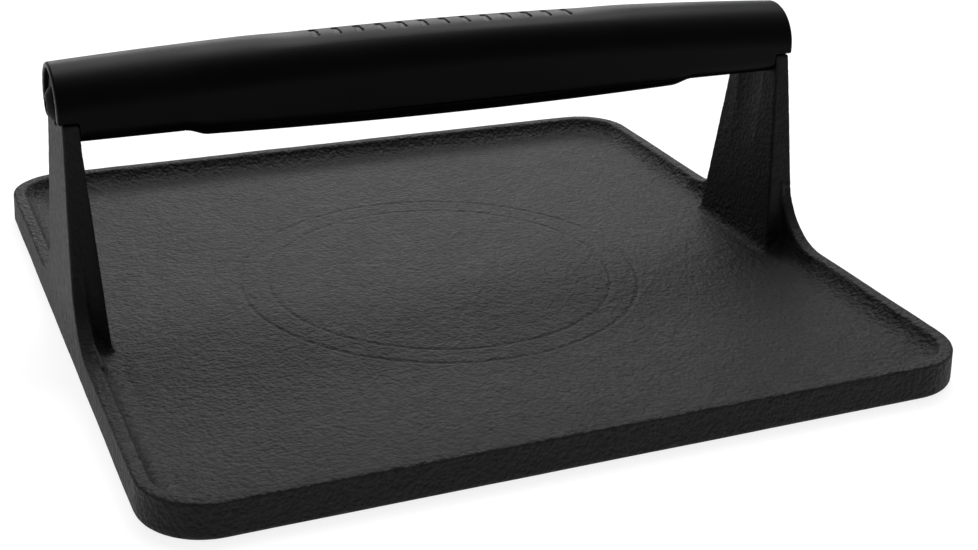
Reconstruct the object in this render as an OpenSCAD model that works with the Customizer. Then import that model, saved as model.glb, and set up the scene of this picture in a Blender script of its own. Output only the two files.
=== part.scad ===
// Cast iron griddle press: a square shallow tray casting with two upright posts,
// and a moulded two-piece handle screwed between the posts.
// Origin: centre of the flat pressing face. +X runs along the handle, +Z is up.

/* [Plate] */
// Length of each side of the square plate
plate_size = 254; // [200:1:300]
// Radius of the plate's outer corners
corner_r = 20; // [16:1:30]
// Height of the raised rim
rim_h = 11; // [9:0.5:14]
// Thickness of the plate inside the rim
floor_h = 5.2; // [4:0.1:7]
// Width of the flat land on top of the rim
land_w = 3.8; // [2:0.1:4.5]
// Distance from the outer wall to the foot of the hollow inner slope
slope_foot = 13; // [11:0.5:14]
// Inward lean of all outer walls, in mm per mm of height
draft = 0.045; // [0.02:0.005:0.06]
// Bevel round the bottom edge
bottom_bevel = 0.8; // [0.4:0.1:1.5]
// Bevel on the outer edge of the rim's land
land_bevel = 0.6; // [0.5:0.1:1.2]
// Radius of the outer decorative groove
groove_outer_r = 67.8; // [62:0.2:80]
// Radius of the inner decorative groove
groove_inner_r = 58.6; // [40:0.2:60]
// Radius of each groove's round section
groove_r = 1.1; // [0.6:0.1:2]
// Depth of each groove
groove_depth = 0.25; // [0.1:0.05:0.5]

/* [Posts] */
// Width of a post at the foot
post_foot_w = 48.6; // [40:0.2:54]
// Width of a post at the shoulders, just under the handle's end
post_top_w = 26.6; // [24:0.2:26.8]
// Height of the shoulders
shoulder_z = 75; // [74:0.5:75]
// Thickness of a post at the foot
post_foot_t = 11.7; // [9:0.1:13]
// Height where a post's inner face turns upright
upright_z = 66.7; // [60:0.1:68]
// Distance from the outer wall's foot to the upright face that the handle sits against
seat_inset = 8.5; // [8:0.1:9]
// Distance from the outer wall's foot to the plane under the screw's head
spot_inset = 4.3; // [3.6:0.1:4.6]
// Radius of the hollow flare from post to rim
flare_r = 22; // [16:1:24]
// Thickness of the flare on top of the rim
flare_t = 5.2; // [4:0.2:7]
// Radius of the round tab that carries the screw
tab_r = 10.3; // [9.5:0.1:10.6]
// Height of the screw's axis
screw_z = 78; // [77:0.5:79]
// Clearance hole for the screw
screw_hole_d = 6.6; // [6.4:0.1:7]
// Width of the shallow flute down a post's inner face
flute_w = 15.5; // [8:0.5:16]
// Depth of the flute at its upper end
flute_depth = 0.9; // [0.4:0.1:1.2]

/* [Handle] */
// Half the handle's length over both ends
grip_half_l = 124.8; // [123.5:0.1:125]
// Half the handle's width, and radius of its rounded top
grip_r = 13.4; // [12.9:0.1:14]
// Height of the round handle's crown at mid length, before its panel is cut
crown_z = 94.5; // [94:0.1:96]
// Radius of the long arc that crowns the handle
crown_r = 1960; // [1700:10:2100]
// Half the width of the flatter panel along the top of the handle
panel_half_w = 6.4; // [5:0.1:8]
// Radius of the panel across its width
panel_r = 21.5; // [18:0.5:40]
// Half the length of the panel, up to where it has faded into the round handle
panel_half_l = 66; // [60:1:90]
// Number of short grip slots across the panel
slot_count = 13; // [5:2:15]
// Distance between two grip slots
slot_pitch = 7.2; // [5:0.2:8]
// Width of a grip slot
slot_w = 2; // [1:0.1:3]
// Length of a grip slot
slot_l = 7.6; // [5:0.2:9]
// Depth of a grip slot
slot_depth = 0.5; // [0.3:0.1:0.8]
// Height of the handle's underside near the posts
end_floor_z = 68.8; // [68.6:0.1:69.4]
// Height of the handle's underside at mid length
belly_z = 65.3; // [64.5:0.1:66]
// Radius of the long arc of the belly
belly_r = 2400; // [1800:10:2600]
// Radius of the belly's two lower edges at mid length
belly_edge_r = 6; // [4:0.2:6.6]
// Radius of the handle's two lower edges near the posts
end_edge_r = 4.6; // [3:0.2:4.8]
// Radius that rounds off both ends of the handle
end_round = 1.2; // [0.5:0.1:3]
// Half the length of the underside cover
cover_half_l = 87; // [85:0.5:94]
// Length of the ramp at each end of the underside cover
ramp_l = 7; // [5:0.5:14]
// Height of the joint between shell and cover
parting_z = 70.2; // [70:0.1:71]
// Wall thickness of the shell
wall = 3; // [2.4:0.1:3.4]

/* [Fasteners] */
// Nominal thread diameter
thread_d = 6; // [5:1:6]
// Diameter of the button head
head_d = 10.5; // [9.5:0.1:11]
// Height of the button head
head_h = 3.3; // [2.7:0.1:3.4]
// Width across the flats of the hexagon socket
socket_af = 4; // [3:0.5:4]
// Depth of the hexagon socket
socket_depth = 2; // [1.5:0.1:2.2]
// Length of the screw under its head
screw_l = 16; // [14:1:18]
// Outer diameter of the brass threaded insert
insert_d = 9; // [8:0.5:10]
// Length of the brass threaded insert
insert_l = 14; // [12:1:15]

/* [Hidden] */
$fn = 96;

eps = 0.02;                                  // overlap that keeps cuts and unions clean
half = plate_size / 2;
mid = half - corner_r;                       // from the centre to a corner's own centre
land_in = land_bevel + land_w;               // from the outer wall to the slope's upper edge
slope_run = slope_foot - land_in;
slope_rise = rim_h - floor_h;
slope_r = (slope_run * slope_run + slope_rise * slope_rise) / 2 / slope_rise;   // meets the floor smoothly
seat_x = half - seat_inset;
spot_x = half - spot_inset;
spot_r = head_d / 2 + 0.9;                   // spotface, a little wider than the screw's head
beside_x = half - 30;                        // well inside a post's inner face
beyond_x = half + 5;                         // well outside the outer wall
post_top_z = screw_z + tab_r;
post_in_x = half - post_foot_t;
side_slope = (post_foot_w - post_top_w) / 2 / shoulder_z;
side_len = sqrt(1 + side_slope * side_slope);
inner_lean = (seat_x - post_in_x) / upright_z;
flare_sink = 0.1;                            // how far the flare dips under the rim's land
flare_z = rim_h + flare_r - flare_sink;
flare_y = post_foot_w / 2 - side_slope * flare_z + side_len * flare_r;
flute_foot_z = 24;
flute_r = flute_w * flute_w / 8 / flute_depth + flute_depth / 2;
flute_l = 48;
arch_r = tab_r + 0.6;                        // round recess in the handle's end, over the tab
arch_z = shoulder_z + 0.3;
ramp_from = cover_half_l - ramp_l;
panel_fade = 20;                             // length over which the panel fades out at each end
panel_edge = acos(panel_half_w / grip_r);    // where the panel's edge lies round the outline
panel_edge_h = sqrt(grip_r * grip_r - panel_half_w * panel_half_w);
panel_sink = grip_r - panel_edge_h - panel_r + sqrt(panel_r * panel_r - panel_half_w * panel_half_w);
top_z = crown_z - panel_sink;
round_from = grip_half_l - end_round;
half_stations = concat(
    [for (i = [0 : 11]) ramp_from * i / 12],
    [for (i = [0 : 7]) ramp_from + ramp_l * i / 7],
    [for (i = [1 : 2]) blend(cover_half_l, round_from, i / 3)],
    [for (i = [0 : 4]) round_from + end_round * sin(22.5 * i)]
);
grip_stations = concat(
    [for (i = [len(half_stations) - 1 : -1 : 1]) -half_stations[i]], half_stations
);
hollow_stations = [for (i = [-8 : 8]) 14 * i];
insert_sink = 0.2;                           // how far the insert sits below the seat
end_block_x = seat_x - insert_l - 3;         // inner face of the solid block at each end
pilot_x = spot_x - screw_l - 2;              // bottom of the blind hole behind the insert
tongue_gap = 0.2;
tongue_t = 1.8;
tongue_h = 4;
pocket_z = parting_z - 1.2;                  // floor of the cover's hollow
shank_r = thread_d / 2 - 0.05;

function wall_x(z) = half - draft * (z - bottom_bevel);

// One side of the tray in section: x runs outwards from the corner's centre, y is height.
module rim_section() {
    land_x = wall_x(rim_h) - mid;
    foot = corner_r - slope_foot;
    difference() {
        polygon([
            [0, 0], [corner_r - bottom_bevel, 0], [corner_r, bottom_bevel],
            [wall_x(rim_h - land_bevel) - mid, rim_h - land_bevel], [land_x - land_bevel, rim_h],
            [corner_r - land_in, rim_h], [foot, floor_h], [0, floor_h]
        ]);
        intersection() {
            translate([foot, floor_h + slope_r]) circle(slope_r, $fn = 180);
            translate([foot, floor_h]) square(corner_r);
        }
    }
}

module tray() {
    translate([-mid - eps, -mid - eps, 0]) cube([2 * mid + 2 * eps, 2 * mid + 2 * eps, floor_h]);
    for (turn = [0 : 90 : 270]) rotate([0, 0, turn]) {
        translate([mid, mid, 0]) rotate([90, 0, 0]) linear_extrude(2 * mid) rim_section();
        translate([mid, mid, 0]) rotate_extrude(angle = 90) rim_section();
    }
}

// Outline of a post seen from the side: sloping sides, shoulders and a round tab.
module post_outline() {
    polygon([
        [-post_foot_w / 2, 0], [post_foot_w / 2, 0],
        [post_top_w / 2, shoulder_z], [-post_top_w / 2, shoulder_z]
    ]);
    translate([-tab_r, shoulder_z - eps]) square([2 * tab_r, screw_z - shoulder_z + eps]);
    translate([0, screw_z]) circle(tab_r);
}

// Hollow flares that spread the post's foot along the rim.
module flare_outline() {
    touch_y = flare_y - flare_r / side_len;
    touch_z = flare_z - flare_r * side_slope / side_len;
    difference() {
        polygon([
            [-flare_y, floor_h], [flare_y, floor_h], [flare_y, rim_h - flare_sink],
            [touch_y, touch_z], [-touch_y, touch_z], [-flare_y, rim_h - flare_sink]
        ]);
        for (side = [-1, 1]) translate([side * flare_y, flare_z]) circle(flare_r, $fn = 180);
    }
}

// Section of a post across its thickness, from inner to outer face.
module post_section(inner_foot, inner_seat) {
    polygon([
        [inner_foot, 1], [wall_x(1), 1], [wall_x(post_top_z + 1), post_top_z + 1],
        [inner_seat, post_top_z + 1], [inner_seat, upright_z]
    ]);
}

module along_y(width) {
    translate([0, width / 2, 0]) rotate([90, 0, 0]) linear_extrude(width) children();
}

module along_x(from, to) {
    translate([from, 0, 0]) rotate([90, 0, 90]) linear_extrude(to - from) children();
}

module post() {
    difference() {
        union() {
            intersection() {
                along_y(2 * post_foot_w) post_section(post_in_x + inner_lean, seat_x);
                along_x(beside_x, beyond_x) post_outline();
            }
            intersection() {
                along_y(3 * post_foot_w) post_section(half - flare_t, half - flare_t);
                along_x(beside_x, beyond_x) flare_outline();
            }
        }
        translate([beside_x, 0, screw_z]) rotate([0, 90, 0])
            cylinder(d = screw_hole_d, h = beyond_x - beside_x);
        translate([spot_x, 0, screw_z]) rotate([0, 90, 0]) cylinder(r = spot_r, h = beyond_x - spot_x);
        translate([post_in_x + inner_lean * flute_foot_z - flute_r, 0, flute_foot_z])
            rotate([0, atan(inner_lean + flute_depth / (end_floor_z - flute_foot_z)), 0])
                cylinder(r = flute_r, h = flute_l, $fn = 180);
    }
}

module both_sides() { for (side = [0, 1]) mirror([side, 0, 0]) children(); }

// Tray, rim and both posts are one casting.
module cast_base() {
    color([0.19, 0.19, 0.20]) difference() {
        union() {
            tray();
            both_sides() post();
        }
        for (r = [groove_outer_r, groove_inner_r])
            translate([0, 0, floor_h + groove_r - groove_depth]) rotate_extrude(convexity = 4)
                translate([r, 0]) circle(groove_r, $fn = 48);
    }
}

// Height of the crown line and of the underside at a distance x from mid length.
function crown_at(x) = crown_z - x * x / 2 / crown_r;
function ease(t) = t * t * (3 - 2 * t);
function to_end(x) = ease(max(0, min(1, (abs(x) - ramp_from) / ramp_l)));
function blend(from, to, share) = from + (to - from) * share;
function underside_at(x) = blend(belly_z + x * x / 2 / belly_r, end_floor_z, to_end(x));

// Points along an arc, without the first and last ones where skip is 1.
function arc(centre, r, from, to, steps, skip = 0) = [
    for (i = [skip : steps - skip])
        centre + r * [cos(blend(from, to, i / steps)), sin(blend(from, to, i / steps))]
];

// How far the outline shrinks where the handle's end is rounded off.
function end_inset(x) =
    let (past = max(0, abs(x) - round_from))
    end_round - sqrt(max(0, end_round * end_round - past * past));

// Radius across the panel, which grows into the handle's own radius at both ends.
function panel_radius(x) =
    let (fade = ease(max(0, min(1, (abs(x) - panel_half_l + panel_fade) / panel_fade))))
    1 / blend(1 / panel_r, 1 / grip_r, fade);

// Outline of the whole handle across its length, as [y, z] points.
function grip_outline(x) =
    let (r = blend(belly_edge_r, end_edge_r, to_end(x)), low = underside_at(x) + r, inset = end_inset(x),
         share = 1 - inset / grip_r, middle = crown_at(x) - grip_r,
         across = share * panel_radius(x), half_w = share * panel_half_w,
         down = sqrt(across * across - half_w * half_w), edge = acos(half_w / across))
    concat(
        arc([0, middle], grip_r - inset, 0, panel_edge, 9),
        arc([0, middle + share * panel_edge_h - down], across, edge, 180 - edge, 10, 1),
        arc([0, middle], grip_r - inset, 180 - panel_edge, 180, 9),
        arc([r - grip_r, low], r - inset, 180, 270, 6),
        arc([grip_r - r, low], r - inset, 270, 360, 6)
    );

// Outline of the hollow inside the handle, open at the bottom.
function hollow_outline(x) = concat(
    arc([0, crown_at(x) - grip_r], grip_r - wall, 0, 180, 20),
    [[wall - grip_r, belly_z - 1], [grip_r - wall, belly_z - 1]]
);

// Solid through a row of outlines that all have the same number of points.
module loft(stations, outlines) {
    n = len(outlines[0]);
    last = len(stations) - 1;
    points = [for (i = [0 : last]) for (p = outlines[i]) [stations[i], p[0], p[1]]];
    skin = [
        for (i = [0 : last - 1]) for (k = [0 : n - 1])
            let (a = i * n + k, b = i * n + (k + 1) % n)
            each [[a, a + n, b], [b, a + n, b + n]]
    ];
    caps = [[for (k = [0 : n - 1]) k], [for (k = [n - 1 : -1 : 0]) last * n + k]];
    polyhedron(points, concat(skin, caps), convexity = 4);
}

module whole_grip() { loft(grip_stations, [for (x = grip_stations) grip_outline(x)]); }

module slab(half_x, low_z, high_z) {
    translate([-half_x, -grip_r - 1, low_z]) cube([2 * half_x, 2 * grip_r + 2, high_z - low_z]);
}

// Plain short slots with round ends, in a row on the panel. Their floors follow the panel.
module grip_slots() {
    straight = slot_l - slot_w;
    for (i = [-(slot_count - 1) / 2 : (slot_count - 1) / 2]) {
        x = i * slot_pitch;
        crest = crown_at(x) - panel_sink;
        intersection() {
            translate([x, 0, crest - slot_l / 2]) linear_extrude(slot_l) {
                square([slot_w, straight], center = true);
                for (side = [-1, 1]) translate([0, side * straight / 2]) circle(d = slot_w, $fn = 32);
            }
            along_x(x - slot_w, x + slot_w) difference() {
                translate([-slot_l, crest - slot_l]) square(2 * slot_l);
                translate([0, crest - panel_r]) circle(panel_r - slot_depth, $fn = 180);
            }
        }
    }
}

// Blind hole along the handle's end, from its mouth plane inwards.
module end_hole(mouth_x, bottom_x, d) {
    translate([bottom_x, 0, screw_z]) rotate([0, 90, 0]) cylinder(d = d, h = mouth_x - bottom_x);
}

module handle_shell() {
    color([0.035, 0.035, 0.042]) difference() {
        whole_grip();
        slab(cover_half_l, belly_z - 1, parting_z);
        intersection() {
            loft(hollow_stations, [for (x = hollow_stations) hollow_outline(x)]);
            union() {
                slab(end_block_x, end_floor_z + wall, top_z - wall);
                slab(cover_half_l - wall, belly_z - 1, top_z - wall);
            }
        }
        both_sides() {
            translate([seat_x, -grip_r - 1, end_floor_z - 1])
                cube([20, 2 * grip_r + 2, arch_z - end_floor_z + 1]);
            along_x(seat_x, half) {
                translate([0, screw_z]) circle(arch_r);
                translate([-arch_r, arch_z - 1]) square([2 * arch_r, screw_z - arch_z + 1]);
            }
            end_hole(seat_x + 1, seat_x - insert_sink - insert_l, insert_d);
            end_hole(seat_x, pilot_x, thread_d + 0.6);
        }
        grip_slots();
    }
}

// Belly of the handle: closes the hollow shell from below, with a tongue that locates inside it.
module handle_underside_cover() {
    tongue_x = cover_half_l - wall - tongue_gap;
    tongue_y = grip_r - wall - tongue_gap;
    color([0.03, 0.03, 0.036]) difference() {
        union() {
            intersection() {
                whole_grip();
                slab(cover_half_l, belly_z - 1, parting_z);
            }
            translate([-tongue_x, -tongue_y, parting_z - 1])
                cube([2 * tongue_x, 2 * tongue_y, tongue_h + 1]);
        }
        translate([-ramp_from, -tongue_y + tongue_t, pocket_z])
            cube([2 * ramp_from, 2 * (tongue_y - tongue_t), 20]);
    }
}

// Brass insert with two grooves that key it into the moulding.
module threaded_insert() {
    translate([seat_x - insert_sink, 0, screw_z]) rotate([0, -90, 0]) difference() {
        cylinder(d = insert_d, h = insert_l);
        translate([0, 0, -1]) cylinder(d = thread_d, h = insert_l + 2);
        for (at = [insert_l * 0.3, insert_l * 0.62]) translate([0, 0, at]) difference() {
            cylinder(d = insert_d + 2, h = 1.2);
            translate([0, 0, -1]) cylinder(d = insert_d - 1.2, h = 4);
        }
    }
}

module threaded_insert_left() { color([0.72, 0.56, 0.25]) mirror([1, 0, 0]) threaded_insert(); }

module threaded_insert_right() { color([0.72, 0.56, 0.25]) threaded_insert(); }

// Button head socket screw, drawn pointing inwards from the plane under its head.
module screw() {
    rim = 1.4;
    flat_r = head_d / 4;
    dome_c = (head_h * head_h + flat_r * flat_r - rim * rim - head_d * head_d / 4) / 2 / (head_h - rim);
    dome_r = norm([flat_r, head_h - dome_c]);
    translate([spot_x, 0, screw_z]) rotate([0, 90, 0]) difference() {
        union() {
            rotate_extrude() intersection() {
                square([head_d / 2, head_h]);
                translate([0, dome_c]) circle(dome_r, $fn = 180);
            }
            translate([0, 0, -screw_l]) cylinder(r = shank_r, h = screw_l + eps);
        }
        translate([0, 0, head_h - socket_depth])
            cylinder(d = socket_af / cos(30), h = socket_depth + 1, $fn = 6);
    }
}

module screw_left() { color([0.10, 0.10, 0.11]) mirror([1, 0, 0]) screw(); }

module screw_right() { color([0.10, 0.10, 0.11]) screw(); }

cast_base();
handle_shell();
handle_underside_cover();
threaded_insert_left();
threaded_insert_right();
screw_left();
screw_right();
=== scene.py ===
import math

import bpy
import numpy as np
from mathutils import Matrix, Vector


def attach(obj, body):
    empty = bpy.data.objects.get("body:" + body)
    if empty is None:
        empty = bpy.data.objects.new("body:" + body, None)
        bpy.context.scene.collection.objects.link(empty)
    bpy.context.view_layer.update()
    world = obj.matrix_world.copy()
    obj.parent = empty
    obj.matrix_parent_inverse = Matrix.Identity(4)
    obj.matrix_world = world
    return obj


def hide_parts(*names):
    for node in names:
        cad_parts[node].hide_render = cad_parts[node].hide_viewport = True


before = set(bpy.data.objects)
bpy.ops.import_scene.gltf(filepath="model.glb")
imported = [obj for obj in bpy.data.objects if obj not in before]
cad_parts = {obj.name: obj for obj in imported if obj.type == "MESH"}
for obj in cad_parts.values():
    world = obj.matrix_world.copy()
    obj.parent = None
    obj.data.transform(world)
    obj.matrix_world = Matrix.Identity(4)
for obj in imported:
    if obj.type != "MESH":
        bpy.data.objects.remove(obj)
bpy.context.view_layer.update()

MM = 0.001
scene = bpy.context.scene

# ---------------------------------------------------------------- camera
CAMERA_AZIMUTH, CAMERA_ELEVATION, CAMERA_ROLL = -23.65, 23.71, 1.58      # degrees
CAMERA_OFFSET = Vector((-16.97, -4.08, -548.13))                         # mm, in camera axes
SENSOR_WIDTH, FOCAL_LENGTH = 36.0, 58.70


def make_camera():
    """A camera that sees the object from the front left and above."""
    a, e, r = (math.radians(v) for v in (CAMERA_AZIMUTH, CAMERA_ELEVATION, CAMERA_ROLL))
    back = Vector((math.sin(a) * math.cos(e), -math.cos(a) * math.cos(e), math.sin(e)))
    right = Vector((math.cos(a), math.sin(a), 0))
    up = back.cross(right)
    axes = Matrix((math.cos(r) * right + math.sin(r) * up,
                   math.cos(r) * up - math.sin(r) * right, back)).transposed()
    data = bpy.data.cameras.new("camera")
    data.sensor_width, data.lens = SENSOR_WIDTH, FOCAL_LENGTH
    data.clip_start, data.clip_end = 0.01, 50
    camera = bpy.data.objects.new("camera", data)
    camera.matrix_world = Matrix.Translation(axes @ -CAMERA_OFFSET * MM) @ axes.to_4x4()
    scene.collection.objects.link(camera)
    scene.camera = camera


make_camera()

# ---------------------------------------------------------------- sizes, in mm
# They are the CAD's, except the flute's place and foot and the inner ring's depth. The flute also
# runs on up the tab, behind the handle, where the CAD's ends.
HALF, CORNER_R, RIM_H, FLOOR_H = 127.0, 20.0, 11.0, 5.2
LAND_IN, SLOPE_FOOT = 4.4, 13.0
DRAFT, BOTTOM_EDGE = 0.045, 0.8
RINGS, RING_TUBE = ((67.8, 0.25), (58.6, 0.2)), 1.1      # radius and depth of each, and section radius
POST_FOOT_W, POST_TOP_W, SHOULDER_Z = 48.6, 26.6, 75.0
POST_IN_X, SEAT_X, SEAT_Z, SPOT_X = 115.3, 118.5, 66.7, 122.7
FLARE_R, FLARE_T = 22.0, 5.2
TAB_R, SCREW_Z, SCREW_HOLE_R, SPOT_R = 10.3, 78.0, 3.3, 6.15
FLUTE_W, FLUTE_DEPTH, FLUTE_FOOT_Z, FLUTE_Y = 15.5, 0.9, 22.0, 1.2
GRIP_HALF_L, GRIP_R, CROWN_Z, CROWN_R, END_ROUND = 124.8, 13.4, 94.5, 1960.0, 1.2
PANEL_HALF_W, PANEL_R, PANEL_HALF_L, PANEL_FADE = 6.4, 21.5, 66.0, 20.0
SLOT_COUNT, SLOT_PITCH, SLOT_W, SLOT_L, SLOT_DEPTH = 13, 7.2, 2.0, 7.6, 0.5
END_FLOOR_Z, BELLY_Z, BELLY_R, BELLY_EDGE_R, END_EDGE_R = 68.8, 65.3, 2400.0, 6.0, 4.6
COVER_HALF_L, RAMP_FROM, RAMP_L, PARTING_Z, WALL = 87.0, 80.0, 7.0, 70.2, 3.0
ARCH_R, ARCH_Z, END_BLOCK_X, PILOT_X = 10.9, 75.3, 101.5, 104.7
THREAD_D, HEAD_D, HEAD_H, HEAD_EDGE_H = 6.0, 10.5, 3.3, 1.4
SOCKET_AF, SOCKET_DEPTH, SCREW_L = 4.0, 2.0, 16.0
INSERT_D, INSERT_L = 9.0, 14.0

MID = HALF - CORNER_R
SIDE_SLOPE = (POST_FOOT_W - POST_TOP_W) / 2 / SHOULDER_Z
SIDE_LEN = math.hypot(1, SIDE_SLOPE)
INNER_LEAN = (SEAT_X - POST_IN_X) / SEAT_Z
FLARE_Z = RIM_H + FLARE_R - 0.1
FLARE_Y = POST_FOOT_W / 2 - SIDE_SLOPE * FLARE_Z + SIDE_LEN * FLARE_R
TOUCH_Z = FLARE_Z - FLARE_R * SIDE_SLOPE / SIDE_LEN
PANEL_EDGE_H = math.sqrt(GRIP_R ** 2 - PANEL_HALF_W ** 2)
TOP_Z = CROWN_Z - GRIP_R + PANEL_EDGE_H + PANEL_R - math.sqrt(PANEL_R ** 2 - PANEL_HALF_W ** 2)
SLOPE_RUN, SLOPE_RISE = SLOPE_FOOT - LAND_IN, RIM_H - FLOOR_H
SLOPE_R = (SLOPE_RUN ** 2 + SLOPE_RISE ** 2) / 2 / SLOPE_RISE

# Finish of the casting, in mm: unevenness as (length of a hump, seed, depth), the gaps that keep
# the uneven walls inside the CAD's box, and the radii of rounded edges and fillets. The CAD has no
# fillets.
UNEVEN = ((38, 3, 0.05), (13, 5, 0.03), (5, 7, 0.02))
WALL_INSET, RIM_DROP = 0.08, 0.06
RIM_EDGE, WALL_EDGE, SHOULDER_EDGE, POST_EDGE, FLARE_EDGE = 0.7, 0.7, 0.6, 0.7, 0.8
SMALL_FILLET, POST_FILLET, FOOT_FILLET = 0.15, 1.4, 2.6
SPOT_EDGE, HOLE_EDGE, RING_EDGE = 0.2, 0.3, 0.5

# Edges of the handle and the screws, in mm. The handle's ends are crisper than in the CAD, and the
# CAD's shank has no thread.
END_EDGE, PANEL_EDGE, SLOT_EDGE, SLOT_RIM = END_ROUND - 0.4, 0.45, 0.3, 0.15
RECESS_EDGE, JOINT_EDGE, HOLLOW_EDGE, BORE_EDGE, POCKET_EDGE = 0.5, 0.12, 0.3, 0.2, 0.2
JOINT_GAP = 0.03
HEAD_EDGE, HEAD_FACE_EDGE, DOME_EDGE, TIP_EDGE, SOCKET_EDGE = 0.2, 0.15, 0.25, 0.5, 0.16
THREAD_FROM, THREAD_INSET, THREAD_DEPTH = 1.2, 0.05, 0.32


# ---------------------------------------------------------------- fields: below 0 inside the solid
def join(a, b, r):
    """Union with a hollow fillet of radius r."""
    return np.maximum(r, np.minimum(a, b)) - np.hypot(np.maximum(r - a, 0), np.maximum(r - b, 0))


def common(a, b, r):
    """Intersection with edges rounded to radius r."""
    return np.minimum(-r, np.maximum(a, b)) + np.hypot(np.maximum(a + r, 0), np.maximum(b + r, 0))


def smooth(t):
    """0 below 0, 1 above 1, and a smooth rise between them."""
    t = np.clip(t, 0, 1)
    return t * t * (3 - 2 * t)


def waves(p, length, seed):
    """A gentle unevenness between about -1 and 1, with humps of about this length."""
    draw = np.random.default_rng(seed)
    total = np.zeros(len(p))
    for _ in range(7):
        way = draw.normal(size=3)
        way *= 2 * math.pi / length / np.linalg.norm(way) * draw.uniform(0.6, 1.5)
        total += np.sin(p @ way + draw.uniform(0, 2 * math.pi))
    return total / 4


def casting(p, rings=False):
    """Tray, rim and both posts, as one sand casting."""
    x, y, z = abs(p[:, 0]), abs(p[:, 1]), p[:, 2]
    qx, qy = x - MID, y - MID
    plan = np.hypot(np.maximum(qx, 0), np.maximum(qy, 0)) + np.minimum(np.maximum(qx, qy), 0) - CORNER_R
    uneven = sum(waves(p, length, seed) * depth for length, seed, depth in UNEVEN)
    wall = plan + DRAFT * (z - BOTTOM_EDGE) + WALL_INSET + uneven
    cove = np.maximum(SLOPE_R - np.hypot(plan + SLOPE_FOOT, z - FLOOR_H - SLOPE_R), -SLOPE_FOOT - plan)
    rim = common(z - RIM_H + RIM_DROP, cove, RIM_EDGE)
    top = np.minimum(z - FLOOR_H, rim) + uneven

    down = smooth((z - FLUTE_FOOT_Z) / (END_FLOOR_Z - FLUTE_FOOT_Z))
    flute = FLUTE_DEPTH * down * np.maximum(1 - (2 * (p[:, 1] - FLUTE_Y) / FLUTE_W) ** 2, 0)
    inner = np.minimum(POST_IN_X + INNER_LEAN * z, SEAT_X) + flute - x
    side = (y - POST_FOOT_W / 2 + SIDE_SLOPE * z) / SIDE_LEN
    shoulders = common(side, z - SHOULDER_Z, SHOULDER_EDGE)
    tab = np.hypot(y, np.maximum(z - SCREW_Z, 0)) - TAB_R
    core = common(inner, np.minimum(shoulders, tab), POST_EDGE)
    arc = FLARE_R - np.hypot(y - FLARE_Y, z - FLARE_Z)
    flare = np.maximum(np.maximum(arc, y - FLARE_Y), z - TOUCH_Z)
    flare = common(HALF - FLARE_T - x, flare, FLARE_EDGE)
    within = smooth((HALF - FLARE_T + 1.4 - x) / 1.6)    # 0 at the outer wall, where no fillet runs
    post = join(core, flare, SMALL_FILLET + POST_FILLET * within) + uneven * 0.6
    body = join(top, post, SMALL_FILLET + FOOT_FILLET * within)

    d = common(wall, body, WALL_EDGE)
    d = common(d, -z, 2 * BOTTOM_EDGE)                   # round, where the CAD has a bevel
    across = np.hypot(y, z - SCREW_Z)
    d = common(d, -common(across - SPOT_R, SPOT_X - x, SPOT_EDGE), SPOT_EDGE)
    d = common(d, SCREW_HOLE_R - across, HOLE_EDGE)
    if rings:
        out = np.hypot(x, y)
        for r, deep in RINGS:
            d = common(d, RING_TUBE - np.hypot(out - r, z - FLOOR_H - RING_TUBE + deep), RING_EDGE)
    return d


def crown(x):
    """Height of the axis of the handle's round top."""
    return CROWN_Z - x * x / 2 / CROWN_R - GRIP_R


def panel(p, bend, grow=0.0):
    """A wider round across the top. It meets the handle's own round along the panel's two edges."""
    low = PANEL_EDGE_H - np.sqrt(1 / bend ** 2 - PANEL_HALF_W ** 2)
    return np.hypot(p[:, 1], p[:, 2] - crown(p[:, 0]) - low) - 1 / bend + grow


def grip(p):
    """The whole outline of the handle, ends square."""
    x, y, z = abs(p[:, 0]), abs(p[:, 1]), p[:, 2]
    to_end = smooth((x - RAMP_FROM) / RAMP_L)
    belly = BELLY_Z + x * x / 2 / BELLY_R
    under = belly + (END_FLOOR_Z - belly) * to_end
    edge = BELLY_EDGE_R + (END_EDGE_R - BELLY_EDGE_R) * to_end
    fade = smooth((x - PANEL_HALF_L + PANEL_FADE) / PANEL_FADE)
    top = np.hypot(y, z - crown(x)) - GRIP_R
    bend = 1 / PANEL_R + (1 / GRIP_R - 1 / PANEL_R) * fade
    cut = common(top, panel(p, bend), PANEL_EDGE * (1 - fade) + 0.001)
    return np.where(z > crown(x), cut, common(y - GRIP_R, under - z, edge))


def slots(p):
    """A row of plain short grip slots across the panel."""
    last = SLOT_COUNT // 2
    x = p[:, 0] - SLOT_PITCH * np.clip(np.round(p[:, 0] / SLOT_PITCH), -last, last)
    outline = np.hypot(x, np.maximum(abs(p[:, 1]) - (SLOT_L - SLOT_W) / 2, 0)) - SLOT_W / 2
    return common(outline, -panel(p, 1 / PANEL_R, SLOT_DEPTH), SLOT_EDGE)


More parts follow.
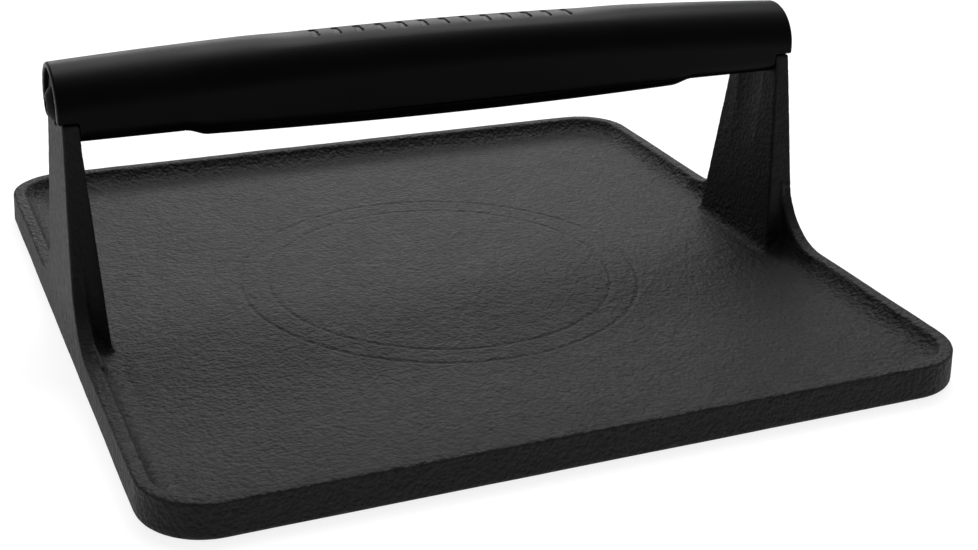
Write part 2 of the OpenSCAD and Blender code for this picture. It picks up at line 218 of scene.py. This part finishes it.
def shell(p):
    """Upper part of the handle: hollow, with a solid block at each end that takes an insert."""
    x, y, z = abs(p[:, 0]), abs(p[:, 1]), p[:, 2]
    d = common(grip(p), x - GRIP_HALF_L, END_EDGE)
    recess = np.minimum(np.hypot(y, np.maximum(z - SCREW_Z, 0)) - ARCH_R, z - ARCH_Z)
    d = common(d, -np.maximum(recess, SEAT_X - x), RECESS_EDGE)
    d = common(d, -np.maximum(x - COVER_HALF_L, z - PARTING_Z), JOINT_EDGE)
    hollow = np.maximum(np.hypot(y, np.maximum(z - crown(x), 0)) - GRIP_R + WALL, z - TOP_Z + WALL)
    hollow = np.maximum(hollow, np.minimum(np.maximum(x - END_BLOCK_X, END_FLOOR_Z + WALL - z),
                                           x - COVER_HALF_L + WALL))
    d = common(d, -hollow, HOLLOW_EDGE)
    across = np.hypot(y, z - SCREW_Z)
    for r, end_x in ((INSERT_D / 2, SEAT_X - 0.2 - INSERT_L), (THREAD_D / 2 + 0.3, PILOT_X)):
        d = common(d, r - np.maximum(across, r + end_x - x), BORE_EDGE)
    return common(d, -slots(p), SLOT_RIM)


def cover(p):
    """The belly piece that closes the handle from below, with a tongue inside the shell."""
    x, y, z = abs(p[:, 0]), abs(p[:, 1]), p[:, 2]
    d = common(grip(p), np.maximum(x - COVER_HALF_L, z - PARTING_Z) + JOINT_GAP, JOINT_EDGE)
    tongue = np.maximum(np.maximum(x - COVER_HALF_L + WALL + 0.2, y - GRIP_R + WALL + 0.2),
                        np.maximum(PARTING_Z - 1 - z, z - PARTING_Z - 4))
    pocket = np.maximum(np.maximum(x - RAMP_FROM, y - GRIP_R + WALL + 2.0), PARTING_Z - 1.2 - z)
    return common(np.minimum(d, tongue), -pocket, POCKET_EDGE)


def screw(p):
    """Button head screw in the right post. Its head's outer face looks along +X."""
    x, y, z = p[:, 0] - SPOT_X, p[:, 1], p[:, 2] - SCREW_Z
    across = np.hypot(y, z)
    flat = HEAD_D / 4
    low = (HEAD_H ** 2 + flat ** 2 - HEAD_EDGE_H ** 2 - HEAD_D ** 2 / 4) / 2 / (HEAD_H - HEAD_EDGE_H)
    dome = np.hypot(across, x - low) - math.hypot(flat, HEAD_H - low)
    side, faces = common(dome, across - HEAD_D / 2, DOME_EDGE), common(x - HEAD_H, -x, HEAD_FACE_EDGE)
    head = common(side, faces, HEAD_EDGE)
    thread = smooth(-x - THREAD_FROM) * (0.5 + 0.5 * np.cos(2 * math.pi * x - np.arctan2(z, y)))
    round_shank = across - THREAD_D / 2 + THREAD_INSET + THREAD_DEPTH * thread
    shank = common(round_shank, -x - SCREW_L, TIP_EDGE)
    shank = np.maximum(shank, x - 0.5)
    turns = (0, math.pi / 3, -math.pi / 3)
    hexagon = np.max([abs(y * math.cos(t) + z * math.sin(t)) for t in turns], axis=0)
    socket = np.maximum(hexagon - SOCKET_AF / 2, HEAD_H - SOCKET_DEPTH - x)
    return common(np.minimum(head, shank), -socket, SOCKET_EDGE)


# ---------------------------------------------------------------- meshes from fields
def lines(*spans):
    """Grid lines along one axis from (from, to, step) spans that follow each other."""
    made = []
    for start, end, step in spans:
        made.append(np.linspace(start, end, max(1, round((end - start) / step)) + 1)[:-1])
    return np.append(np.concatenate(made), spans[-1][1])


def both_ways(*spans):
    """Lines for both sides of 0, from spans that run outwards from 0."""
    out = lines(*spans)
    return np.concatenate([-out[:0:-1], out])


def slope_of(field, p, step=0.01):
    """The field's gradient."""
    g = np.empty_like(p)
    for k in range(3):
        e = np.zeros(3)
        e[k] = step
        g[:, k] = (field(p + e) - field(p - e)) / (2 * step)
    return g


def net(field, axes):
    """A closed mesh of four-sided faces on the field's zero surface.

    It has one vertex in each grid cell that the surface passes through, pulled onto the surface.
    """
    values = np.concatenate([
        field(np.stack(np.meshgrid(x, axes[1], axes[2], indexing="ij"), -1).reshape(-1, 3))
        for x in axes[0]
    ]).reshape([len(a) for a in axes])
    cells = np.array(values.shape) - 1
    total, count = np.zeros((cells.prod(), 3)), np.zeros(cells.prod())
    faces = []
    for a in range(3):
        b, c = (a + 1) % 3, (a + 2) % 3
        low, high = (np.moveaxis(values, a, 0)[s] for s in (slice(None, -1), slice(1, None)))
        low, high = np.moveaxis(low, 0, a), np.moveaxis(high, 0, a)
        at = np.argwhere((low < 0) != (high < 0))
        v0, v1 = low[tuple(at.T)], high[tuple(at.T)]
        place = np.stack([axes[k][at[:, k]] for k in range(3)], 1)
        place[:, a] += (axes[a][at[:, a] + 1] - axes[a][at[:, a]]) * v0 / (v0 - v1)
        ring = []
        for db, dc in ((0, 0), (1, 0), (1, 1), (0, 1)):
            cell = at.copy()
            cell[:, b] -= db
            cell[:, c] -= dc
            flat = np.ravel_multi_index(tuple(cell.T), tuple(cells))
            ring.append(flat)
            for k in range(3):
                total[:, k] += np.bincount(flat, place[:, k], len(total))
            count += np.bincount(flat, minlength=len(count))
        ring = np.stack(ring, 1)
        faces.append(np.where((v0 < 0)[:, None], ring, ring[:, ::-1]))
    used = np.flatnonzero(count)
    number = np.full(len(count), -1)
    number[used] = np.arange(len(used))
    points = total[used] / count[used, None]
    cell = np.stack(np.unravel_index(used, tuple(cells)), 1)
    first = np.stack([axes[k][cell[:, k]] for k in range(3)], 1)
    last = np.stack([axes[k][cell[:, k] + 1] for k in range(3)], 1)
    for _ in range(6):
        g = slope_of(field, points)
        move = g * (field(points) / np.maximum((g * g).sum(1), 0.05))[:, None]
        points = np.clip(points - move, first, last)
    return points, number[np.concatenate(faces)]


def add_mesh(name, points, faces, field, flip=False):
    """A piece from points in mm, shaded with the field's own slope."""
    normals = slope_of(field, points)
    normals /= np.maximum(np.linalg.norm(normals, axis=1), 1e-9)[:, None]
    if flip:
        points, normals = points * (-1, 1, 1), normals * (-1, 1, 1)
        faces = [f[::-1] for f in faces]
    mesh = bpy.data.meshes.new(name)
    mesh.from_pydata((points * MM).tolist(), [], [list(map(int, f)) for f in faces])
    mesh.validate()
    mesh.shade_smooth()
    mesh.normals_split_custom_set_from_vertices(normals.tolist())
    piece = bpy.data.objects.new(name, mesh)
    scene.collection.objects.link(piece)
    return piece


# The round mesh in the middle of the plate, in mm.
DISC_REACH = 84                                          # half the width of the square it replaces
DISC_R = 74.5                                            # where its rows become circles
RING_STEPS = (0.2, 0.45, 0.7, 0.9, 1.1, 1.35, 1.7)       # rows on both sides of each ring's middle


def plate_with_disc(points, faces):
    """Swaps the middle of the plate's floor for a round mesh that follows the engraved rings."""
    top = (abs(points[:, 2] - FLOOR_H) < 1) & (abs(points[:, :2]).max(1) < DISC_REACH)
    inside = top[faces].all(1)
    keep = faces[~inside]
    rim = np.intersect1d(np.unique(faces[inside]), np.unique(keep))
    angle = np.arctan2(points[rim, 1], points[rim, 0])
    rim = rim[np.argsort(angle)]
    n = len(rim)
    square = points[rim, :2]
    turn = 2 * math.pi * (np.arange(n) / n) + np.arctan2(square[0, 1], square[0, 0])
    circle = np.stack([np.cos(turn), np.sin(turn)], 1)
    radii = [72.5, 70.0]
    for r, _ in RINGS:
        radii += [r] + [r + side * step for step in RING_STEPS for side in (1, -1)]
        radii += [r - 2.6, r - 4.5]
    radii = sorted(radii, reverse=True) + [float(r) for r in range(50, 5, -5)] + [6.0, 3.0]
    rows = [square * (1 - t) + circle * DISC_R * t for t in (0.3, 0.65)] + [circle * r for r in radii]
    flat = np.concatenate(rows + [np.zeros((1, 2))])
    fresh = np.column_stack([flat, np.full(len(flat), FLOOR_H)])
    field = lambda p: casting(p, True)
    for _ in range(12):
        fresh[:, 2] -= np.clip(field(fresh), -0.3, 0.3) * 0.8
    base = len(points)
    ids = [rim] + [base + k * n + np.arange(n) for k in range(len(rows))]
    quads = [np.stack([a, np.roll(a, -1), np.roll(b, -1), b], 1) for a, b in zip(ids, ids[1:])]
    hub = len(fresh) - 1 + base
    last = ids[-1]
    points = np.concatenate([points, fresh])
    quads = [list(map(int, f)) for f in np.concatenate([keep] + quads)]
    fan = [[int(a), int(b), hub] for a, b in zip(last, np.roll(last, -1))]
    used = sorted(set(i for f in quads + fan for i in f))
    number = {old: new for new, old in enumerate(used)}
    return points[used], [[number[i] for i in f] for f in quads + fan]


def make_casting():
    """The plate with its posts. Grid lines are close together where edges and fillets are."""
    edge = ((104, 112, 1.0), (112, 127.6, 0.65), (127.6, 129, 0.7))
    spans_x = both_ways((0, 78, 2.6), (78, 104, 2.6), *edge)
    spans_y = both_ways((0, 8, 0.8), (8, 24, 1.0), (24, 50, 1.3), (50, 104, 2.7), *edge)
    spans_z = lines((-0.9, 0.9, 0.45), (0.9, 4.4, 0.7), (4.4, 12.2, 0.55), (12.2, 30, 1.1),
                    (30, 68, 1.7), (68, 89.6, 0.8))
    points, faces = net(casting, (spans_x, spans_y, spans_z))
    points, faces = plate_with_disc(points, faces)
    piece = add_mesh("cast_iron_base", points, faces, lambda p: casting(p, True))
    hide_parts("cast_base")
    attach(piece, "root")
    return piece


def make_handle():
    """The handle's shell and the cover below it."""
    across = both_ways((0, 8.0, 0.5), (8.0, 14.2, 0.62))
    along = both_ways((0, 46, 0.5), (46, 78, 2.8), (78, 90, 0.8), (90, 116, 2.0), (116, 119, 0.4),
                      (119, 122.4, 0.8), (122.4, 125.2, 0.4))
    up = lines((64.4, 69.6, 0.6), (69.6, 70.8, 0.3), (70.8, 90.0, 0.8), (90.0, 95.2, 0.4))
    top = add_mesh("handle_upper_shell", *net(shell, (along, across, up)), shell)
    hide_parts("handle_shell")
    along = both_ways((0, 78, 3.0), (78, 90, 0.8))
    up = lines((64.4, 69.6, 0.5), (69.6, 70.8, 0.3), (70.8, 75.2, 0.8))
    belly = add_mesh("handle_belly_cover", *net(cover, (along, across, up)), cover)
    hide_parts("handle_underside_cover")
    for piece in (top, belly):
        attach(piece, "root")
    return [top, belly]


def make_screws():
    """One screw mesh, used on the right and mirrored on the left."""
    wide = HEAD_D / 2 + 0.6
    axes = (lines((SPOT_X - 16.6, SPOT_X - 0.6, 0.25), (SPOT_X - 0.6, SPOT_X + 4, 0.2)),
            lines((-wide, wide, 0.2)), lines((SCREW_Z - wide, SCREW_Z + wide, 0.2)))
    points, faces = net(screw, axes)
    made = []
    for side, flip in (("right", False), ("left", True)):
        piece = add_mesh("button_head_screw_" + side, points, faces, screw, flip)
        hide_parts("screw_" + side)
        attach(piece, "root")
        made.append(piece)
    return made


# ---------------------------------------------------------------- materials
class Nodes:
    """A small helper that adds nodes to one material and links them."""

    def __init__(self, name):
        self.material = bpy.data.materials.new(name)
        self.material.use_nodes = True
        self.tree = self.material.node_tree
        self.tree.nodes.clear()
        self.out = self.add("ShaderNodeOutputMaterial")
        self.shader = self.add("ShaderNodeBsdfPrincipled")
        self.link(self.shader.outputs[0], self.out.inputs["Surface"])
        self.place = self.add("ShaderNodeTexCoord").outputs["Object"]

    def add(self, kind, **values):
        node = self.tree.nodes.new(kind)
        for key, value in values.items():
            setattr(node, key, value)
        return node

    def link(self, a, b):
        self.tree.links.new(a, b)

    def noise(self, per_metre, detail, roughness):
        node = self.add("ShaderNodeTexNoise")
        self.link(self.place, node.inputs["Vector"])
        node.inputs["Scale"].default_value = per_metre
        node.inputs["Detail"].default_value = detail
        node.inputs["Roughness"].default_value = roughness
        return node.outputs["Fac"]

    def cells(self, per_metre, smoothness):
        node = self.add("ShaderNodeTexVoronoi", feature="SMOOTH_F1")
        self.link(self.place, node.inputs["Vector"])
        node.inputs["Scale"].default_value = per_metre
        node.inputs["Smoothness"].default_value = smoothness
        return node.outputs["Distance"]

    def range(self, value, a, b, low, high):
        """The value, spread from a..b to low..high."""
        node = self.add("ShaderNodeMapRange")
        self.link(value, node.inputs["Value"])
        for key, v in zip(("From Min", "From Max", "To Min", "To Max"), (a, b, low, high)):
            node.inputs[key].default_value = v
        return node.outputs["Result"]

    def sum(self, a, b, share):
        """a + b * share."""
        node = self.add("ShaderNodeMath", operation="MULTIPLY_ADD")
        self.link(b, node.inputs[0])
        node.inputs[1].default_value = share
        self.link(a, node.inputs[2])
        return node.outputs[0]

    def product(self, a, b):
        node = self.add("ShaderNodeMath", operation="MULTIPLY")
        self.link(b, node.inputs[0])
        self.link(a, node.inputs[1])
        return node.outputs[0]

    def ramp(self, value, *stops):
        """A colour from the value, with stops of (value, colour)."""
        node = self.add("ShaderNodeValToRGB")
        self.link(value, node.inputs["Fac"])
        while len(node.color_ramp.elements) < len(stops):
            node.color_ramp.elements.new(0.5)
        for element, (at, colour) in zip(node.color_ramp.elements, stops):
            element.position, element.color = at, (*colour, 1)
        return node.outputs["Color"]

    def bump(self, height, metres, strength):
        """A bump of the height. The strength is a number, or a node's output that varies."""
        node = self.add("ShaderNodeBump")
        self.link(height, node.inputs["Height"])
        node.inputs["Distance"].default_value = metres
        if isinstance(strength, float):
            node.inputs["Strength"].default_value = strength
        else:
            self.link(strength, node.inputs["Strength"])
        return node.outputs["Normal"]

    def use(self, piece):
        piece.data.materials.clear()
        piece.data.materials.append(self.material)


def iron_material():
    """Seasoned black cast iron with coarse sand grain in patches, smoother on the posts."""
    m = Nodes("seasoned_cast_iron")
    fine = m.noise(1500, 3, 0.6)
    grain = m.noise(520, 4, 0.6)
    coarse = m.noise(150, 3, 0.5)
    patch = m.noise(32, 4, 0.6)
    rough_grain = m.sum(m.sum(grain, coarse, 0.9), m.cells(800, 0.6), 0.5)
    height = m.sum(m.sum(rough_grain, fine, 0.35), m.product(rough_grain, patch), 0.8)
    m.link(m.ramp(patch, (0.3, (0.0035, 0.0032, 0.0036)), (0.7, (0.0065, 0.006, 0.0066))),
           m.shader.inputs["Base Color"])
    rough = m.sum(m.range(grain, 0.3, 0.7, 0.50, 0.64), patch, 0.08)
    m.link(rough, m.shader.inputs["Roughness"])
    split = m.add("ShaderNodeSeparateXYZ")
    m.link(m.place, split.inputs[0])
    strength = m.range(split.outputs["Z"], 0.012, 0.017, 1.0, 0.4)
    m.link(m.bump(height, 0.0006, strength), m.shader.inputs["Normal"])
    m.shader.inputs["Specular IOR Level"].default_value = 0.19
    m.shader.inputs["Specular Tint"].default_value = (0.99, 0.95, 1.0, 1)
    return m


def plastic_material():
    """Black moulded plastic with a fine eroded texture, and painted light on the handle's two end
    faces, whose base colour is made lighter to stand in for light falling on them.
    """
    m = Nodes("black_moulded_plastic")
    fine = m.noise(2600, 3, 0.5)
    patch = m.noise(45, 3, 0.5)
    split, far = m.add("ShaderNodeSeparateXYZ"), m.add("ShaderNodeMath", operation="ABSOLUTE")
    m.link(m.place, split.inputs[0])
    m.link(split.outputs["X"], far.inputs[0])
    # Painted light: the two end faces get a much lighter base colour, standing in for light that falls
    # on them. The patch noise adds a small random tone on top.
    painted_light_at_end = m.range(far.outputs[0], 0.1243, 0.1247, 0.0, 1.0)
    tone_and_painted_end_light = m.sum(m.range(patch, 0.3, 0.7, 0.0, 0.2), painted_light_at_end, 0.8)
    m.link(m.ramp(tone_and_painted_end_light, (0.0, (0.0007, 0.0007, 0.0010)), (0.2, (0.0012, 0.0012, 0.0017)),
                  (0.8, (0.048, 0.047, 0.052)), (1.0, (0.060, 0.059, 0.065))),
           m.shader.inputs["Base Color"])
    m.link(m.range(patch, 0.3, 0.7, 0.36, 0.44), m.shader.inputs["Roughness"])
    m.link(m.bump(fine, 0.00006, 0.6), m.shader.inputs["Normal"])
    m.shader.inputs["Specular IOR Level"].default_value = 0.06
    return m


def steel_material():
    """Black oxide steel."""
    m = Nodes("black_oxide_steel")
    fine = m.noise(1800, 3, 0.5)
    m.link(m.ramp(fine, (0.3, (0.003, 0.003, 0.0033)), (0.7, (0.006, 0.006, 0.0065))),
           m.shader.inputs["Base Color"])
    m.link(m.range(fine, 0.3, 0.7, 0.4, 0.5), m.shader.inputs["Roughness"])
    m.link(m.bump(fine, 0.00003, 0.6), m.shader.inputs["Normal"])
    m.shader.inputs["Specular IOR Level"].default_value = 0.05
    return m


def brass_material():
    """Turned brass of the hidden inserts."""
    m = Nodes("turned_brass")
    fine = m.noise(1500, 2, 0.5)
    m.link(m.ramp(fine, (0.3, (0.50, 0.36, 0.12)), (0.7, (0.60, 0.44, 0.16))),
           m.shader.inputs["Base Color"])
    m.link(m.range(fine, 0.3, 0.7, 0.25, 0.38), m.shader.inputs["Roughness"])
    m.shader.inputs["Metallic"].default_value = 1.0
    return m


# ---------------------------------------------------------------- floor and light, in metres
FLOOR_HALF, FLOOR_Z = 16.0, -0.0001                      # wide enough for views from 12 degrees up
FLOOR_GREY, FLOOR_GLOW = 0.22, 0.84
SOFTBOXES = (("top_softbox", (0.35, 0.6, 1.4), (1.3, 0.9), 26),          # name, place, size, watts
             ("back_softbox", (0.35, 1.2, 0.58), (1.0, 0.5), 6))
LIGHT_AIM = (0, 0, 0.03)
SURROUND_Y, SURROUND_STRENGTH = (-0.7, 0.5), (0.22, 0.50)                # from the front to the back


def make_floor():
    """A plain pale floor, a hair below the object. It glows a little, so it stays white all round."""
    mesh = bpy.data.meshes.new("studio_floor")
    s, z = FLOOR_HALF, FLOOR_Z
    mesh.from_pydata([(-s, -s, z), (s, -s, z), (s, s, z), (-s, s, z)], [], [(0, 1, 2, 3)])
    floor = bpy.data.objects.new("studio_floor", mesh)
    scene.collection.objects.link(floor)
    m = Nodes("pale_floor")
    m.shader.inputs["Base Color"].default_value = (FLOOR_GREY, FLOOR_GREY, FLOOR_GREY, 1)
    m.shader.inputs["Emission Color"].default_value = (1, 1, 1, 1)
    m.shader.inputs["Emission Strength"].default_value = FLOOR_GLOW
    m.shader.inputs["Roughness"].default_value = 0.9
    m.shader.inputs["Specular IOR Level"].default_value = 0.1
    m.use(floor)


def area_light(name, place, size, watts):
    """A soft box that the camera doesn't see."""
    data = bpy.data.lights.new(name, "AREA")
    data.shape = "RECTANGLE"
    data.size, data.size_y = size
    data.energy = watts
    light = bpy.data.objects.new(name, data)
    place = Vector(place)
    light.rotation_mode = "QUATERNION"
    light.rotation_quaternion = (Vector(LIGHT_AIM) - place).to_track_quat("-Z", "Y")
    light.location = place
    light.visible_camera = False
    scene.collection.objects.link(light)


def make_light():
    """A white surround, dimmer in front, with two soft boxes above and behind."""
    for softbox in SOFTBOXES:
        area_light(*softbox)
    world = bpy.data.worlds.new("studio")
    world.use_nodes = True
    tree = world.node_tree
    split = tree.nodes.new("ShaderNodeSeparateXYZ")
    tree.links.new(tree.nodes.new("ShaderNodeTexCoord").outputs["Generated"], split.inputs[0])
    shade = tree.nodes.new("ShaderNodeMapRange")
    shade.interpolation_type = "SMOOTHSTEP"
    tree.links.new(split.outputs["Y"], shade.inputs["Value"])
    for key, v in zip(("From Min", "From Max", "To Min", "To Max"), SURROUND_Y + SURROUND_STRENGTH):
        shade.inputs[key].default_value = v
    background = tree.nodes["Background"]
    background.inputs["Color"].default_value = (1, 1, 1, 1)
    tree.links.new(shade.outputs["Result"], background.inputs["Strength"])
    scene.world = world
    scene.view_settings.view_transform = "Standard"


make_floor()
make_light()
iron, plastic, steel, brass = iron_material(), plastic_material(), steel_material(), brass_material()
iron.use(make_casting())
for part in make_handle():
    plastic.use(part)
for part in make_screws():
    steel.use(part)
for side in ("left", "right"):
    brass.use(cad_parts["threaded_insert_" + side])
